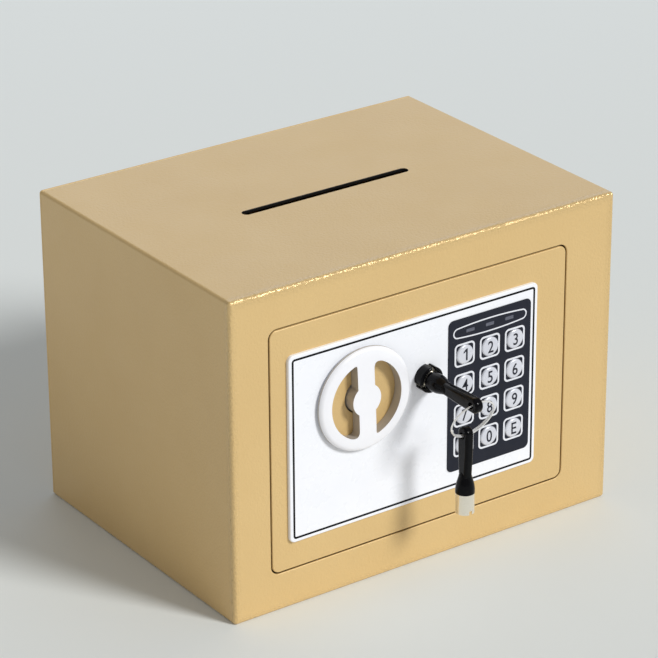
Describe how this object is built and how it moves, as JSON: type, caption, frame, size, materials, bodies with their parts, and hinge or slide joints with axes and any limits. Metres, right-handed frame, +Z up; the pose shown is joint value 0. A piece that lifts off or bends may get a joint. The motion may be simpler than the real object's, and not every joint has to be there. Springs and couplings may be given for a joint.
{
  "type": "toy savings bank",
  "caption": "Small steel safe-shaped savings bank with a hinged door, bolt knob, push-key panel, emergency key lock with keys on a ring and a banknote slot in the top.",
  "frame": {"origin": "middle of the flat underside", "axes": "+Z up, -Y out of the door, +X to the hinge side"},
  "size_m": [0.23, 0.215, 0.17],
  "materials": {
    "powder_coat": "hammered satin powder coat",
    "white_face": "satin white with a fine printed outline",
    "panel_overlay": "dark blue-grey overlay with white outlines",
    "silver_plastic": "silver paint on moulded plastic",
    "nickel": "bright nickel plate",
    "black_plastic": "moulded gloss black",
    "zinc_steel": "zinc plated",
    "copper_winding": "enamelled copper wire",
    "board_green": "solder mask",
    "lamp_clear": "clear moulded",
    "battery_jacket": "plain printed sleeve",
    "felt": "needled felt"
  },
  "bodies": {
    "case": {"body_shell": "powder_coat", "back_panel": "powder_coat", "hinge_bracket_upper": "zinc_steel", "hinge_bracket_lower": "zinc_steel", "floor_mat": "felt"},
    "door": {"door_panel": "powder_coat", "mechanism_cover": "powder_coat", "hinge_leaf": "powder_coat", "hinge_pin_upper": "zinc_steel", "hinge_pin_lower": "zinc_steel", "faceplate": "white_face", "keypad_panel": "panel_overlay", "circuit_board": "board_green", "led_light_guide": "lamp_clear", "bolt_bush_upper": "black_plastic", "bolt_bush_lower": "black_plastic", "solenoid_frame": "zinc_steel", "solenoid_coil": "copper_winding", "lock_collar": "black_plastic", "lock_barrel": "zinc_steel", "lock_nut": "zinc_steel", "battery_holder": "black_plastic", "battery_1": "battery_jacket", "battery_2": "battery_jacket", "battery_3": "battery_jacket", "battery_4": "battery_jacket", "cover_screw_1": "zinc_steel", "cover_screw_2": "zinc_steel", "cover_screw_3": "zinc_steel", "cover_screw_4": "zinc_steel"},
    "knob": {"knob": "silver_plastic", "knob_shaft": "zinc_steel", "knob_cam": "zinc_steel"},
    "bolt_carriage": {"bolt_plate": "zinc_steel", "bolt_upper": "zinc_steel", "bolt_lower": "zinc_steel"},
    "solenoid_plunger": {"solenoid_plunger": "zinc_steel", "plunger_spring": "zinc_steel"},
    "door_key": {"lock_plug": "zinc_steel", "lock_cam": "zinc_steel", "door_key_tube": "nickel", "door_key_grip": "black_plastic"},
    "key_ring": {"key_ring": "nickel"},
    "spare_key": {"spare_key_tube": "nickel", "spare_key_grip": "black_plastic"},
    "battery_cover": {"battery_cover": "black_plastic"},
    "reset_button": {"reset_button": "black_plastic"},
    "key_1": {"key_1": "silver_plastic"},
    "key_2": {"key_2": "silver_plastic"},
    "key_3": {"key_3": "silver_plastic"},
    "key_4": {"key_4": "silver_plastic"},
    "key_5": {"key_5": "silver_plastic"},
    "key_6": {"key_6": "silver_plastic"},
    "key_7": {"key_7": "silver_plastic"},
    "key_8": {"key_8": "silver_plastic"},
    "key_9": {"key_9": "silver_plastic"},
    "key_blank": {"key_blank": "silver_plastic"},
    "key_0": {"key_0": "silver_plastic"},
    "key_e": {"key_e": "silver_plastic"}
  },
  "joints": [
    {"name": "door_swing", "type": "hinge", "parent": "case", "child": "door", "pos_m": [0.0628, -0.0795, 0.085], "axis": [0, 0, 1], "range_deg": [0, 105]},
    {"name": "knob_turn", "type": "hinge", "parent": "door", "child": "knob", "pos_m": [-0.0409, -0.088, 0.1019], "axis": [0, -1, 0], "range_deg": [0, 60]},
    {"name": "bolt_slide", "type": "slide", "parent": "door", "child": "bolt_carriage", "axis": [-1, 0, 0], "range_m": [0, 0.01]},
    {"name": "plunger_slide", "type": "slide", "parent": "door", "child": "solenoid_plunger", "axis": [0, 0, 1], "range_m": [0, 0.004], "deforming": ["plunger_spring"]},
    {"name": "key_turn", "type": "hinge", "parent": "door", "child": "door_key", "pos_m": [-0.003, -0.09, 0.1023], "axis": [0, 1, 0], "range_deg": [0, 90]},
    {"name": "ring_swing", "type": "hinge", "parent": "door_key", "child": "key_ring", "pos_m": [-0.003, -0.1255, 0.1023], "axis": [1, 0, 0], "range_deg": [-66, 4]},
    {"name": "spare_key_swing", "type": "hinge", "parent": "key_ring", "child": "spare_key", "pos_m": [0.00008, -0.11524, 0.08127], "axis": [1, 0, 0], "range_deg": [-30, 18]},
    {"name": "battery_cover_pull", "type": "slide", "parent": "door", "child": "battery_cover", "axis": [0, 1, 0], "range_m": [0, 0.025]},
    {"name": "reset_press", "type": "slide", "parent": "door", "child": "reset_button", "axis": [0, -1, 0], "range_m": [0, 0.0012], "stiffness_N_per_m": 200},
    {"name": "key_1_press", "type": "slide", "parent": "door", "child": "key_1", "axis": [0, 1, 0], "range_m": [0, 0.001], "stiffness_N_per_m": 200},
    {"name": "key_2_press", "type": "slide", "parent": "door", "child": "key_2", "axis": [0, 1, 0], "range_m": [0, 0.001], "stiffness_N_per_m": 200},
    {"name": "key_3_press", "type": "slide", "parent": "door", "child": "key_3", "axis": [0, 1, 0], "range_m": [0, 0.001], "stiffness_N_per_m": 200},
    {"name": "key_4_press", "type": "slide", "parent": "door", "child": "key_4", "axis": [0, 1, 0], "range_m": [0, 0.001], "stiffness_N_per_m": 200},
    {"name": "key_5_press", "type": "slide", "parent": "door", "child": "key_5", "axis": [0, 1, 0], "range_m": [0, 0.001], "stiffness_N_per_m": 200},
    {"name": "key_6_press", "type": "slide", "parent": "door", "child": "key_6", "axis": [0, 1, 0], "range_m": [0, 0.001], "stiffness_N_per_m": 200},
    {"name": "key_7_press", "type": "slide", "parent": "door", "child": "key_7", "axis": [0, 1, 0], "range_m": [0, 0.001], "stiffness_N_per_m": 200},
    {"name": "key_8_press", "type": "slide", "parent": "door", "child": "key_8", "axis": [0, 1, 0], "range_m": [0, 0.001], "stiffness_N_per_m": 200},
    {"name": "key_9_press", "type": "slide", "parent": "door", "child": "key_9", "axis": [0, 1, 0], "range_m": [0, 0.001], "stiffness_N_per_m": 200},
    {"name": "key_blank_press", "type": "slide", "parent": "door", "child": "key_blank", "axis": [0, 1, 0], "range_m": [0, 0.001], "stiffness_N_per_m": 200},
    {"name": "key_0_press", "type": "slide", "parent": "door", "child": "key_0", "axis": [0, 1, 0], "range_m": [0, 0.001], "stiffness_N_per_m": 200},
    {"name": "key_e_press", "type": "slide", "parent": "door", "child": "key_e", "axis": [0, 1, 0], "range_m": [0, 0.001], "stiffness_N_per_m": 200}
  ],
  "couplings": [
    {"joint": "knob_turn", "follows": "bolt_slide", "rad_per_m": 104.72}
  ]
}
